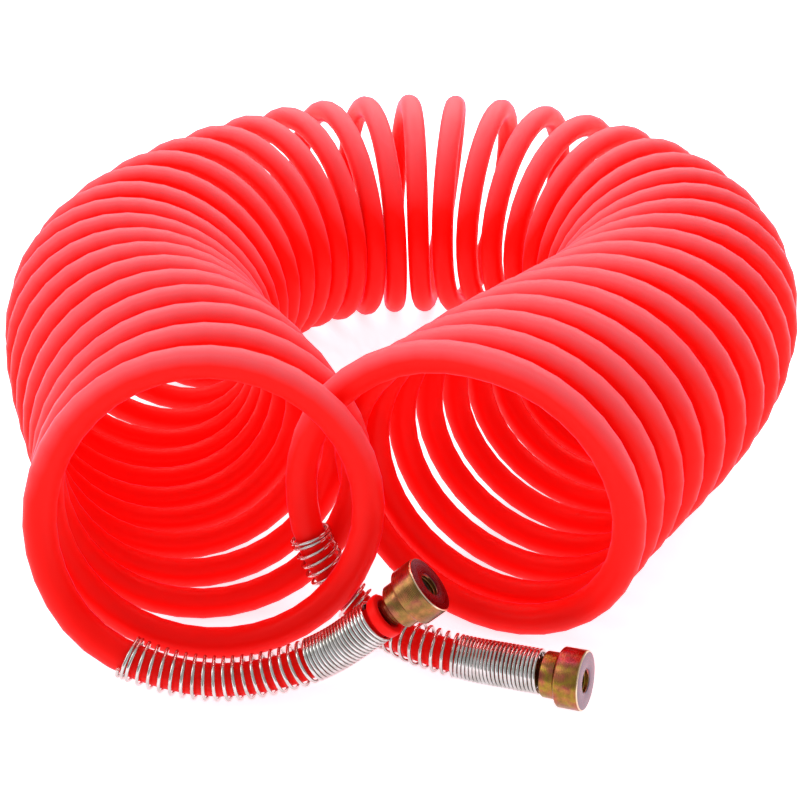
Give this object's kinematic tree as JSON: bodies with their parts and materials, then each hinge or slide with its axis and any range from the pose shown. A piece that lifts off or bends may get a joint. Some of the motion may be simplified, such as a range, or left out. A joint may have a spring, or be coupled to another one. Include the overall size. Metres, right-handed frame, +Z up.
{
  "type": "coiled air hose",
  "caption": "Coiled plastic air hose laid round in a horseshoe, with a swivelling screw fitting and a spring bend guard at each end.",
  "frame": {"origin": "middle of the hose's box in plan, on the ground that it lies on", "axes": "+Z up from the ground; +Y from the front, where both ends leave the coil, to the closed back of the horseshoe; +X to the right as seen from the front"},
  "size_m": [0.2516, 0.2858, 0.084],
  "materials": {
    "hose": "satin",
    "guard_wire": "bright",
    "head_steel": "yellow zinc, glossy",
    "stem_steel": "yellow zinc, glossy",
    "spring_steel": "dull",
    "seal_rubber": "matt"
  },
  "bodies": {
    "hose": {"hose_coil": "hose", "inlet_hose": "hose", "inlet_hose_end": "hose", "inlet_spring_guard": "guard_wire", "inlet_stem": "stem_steel", "inlet_retaining_ring": "spring_steel", "inlet_o_ring": "seal_rubber", "outlet_hose": "hose", "outlet_hose_end": "hose", "outlet_spring_guard": "guard_wire", "outlet_stem": "stem_steel", "outlet_retaining_ring": "spring_steel", "outlet_o_ring": "seal_rubber"},
    "inlet_head": {"inlet_swivel_head": "head_steel", "inlet_seal_washer": "seal_rubber"},
    "outlet_head": {"outlet_swivel_head": "head_steel", "outlet_seal_washer": "seal_rubber"}
  },
  "joints": [
    {"name": "inlet_swivel", "type": "hinge", "parent": "hose", "child": "inlet_head", "pos_m": [0.0028, -0.12998, 0.0342], "axis": [0.7506, 0.013, 0.6606], "continuous": true},
    {"name": "outlet_swivel", "type": "hinge", "parent": "hose", "child": "outlet_head", "pos_m": [0.04, -0.13648, 0.0104], "axis": [0.8983, -0.4137, 0.1481], "continuous": true}
  ]
}
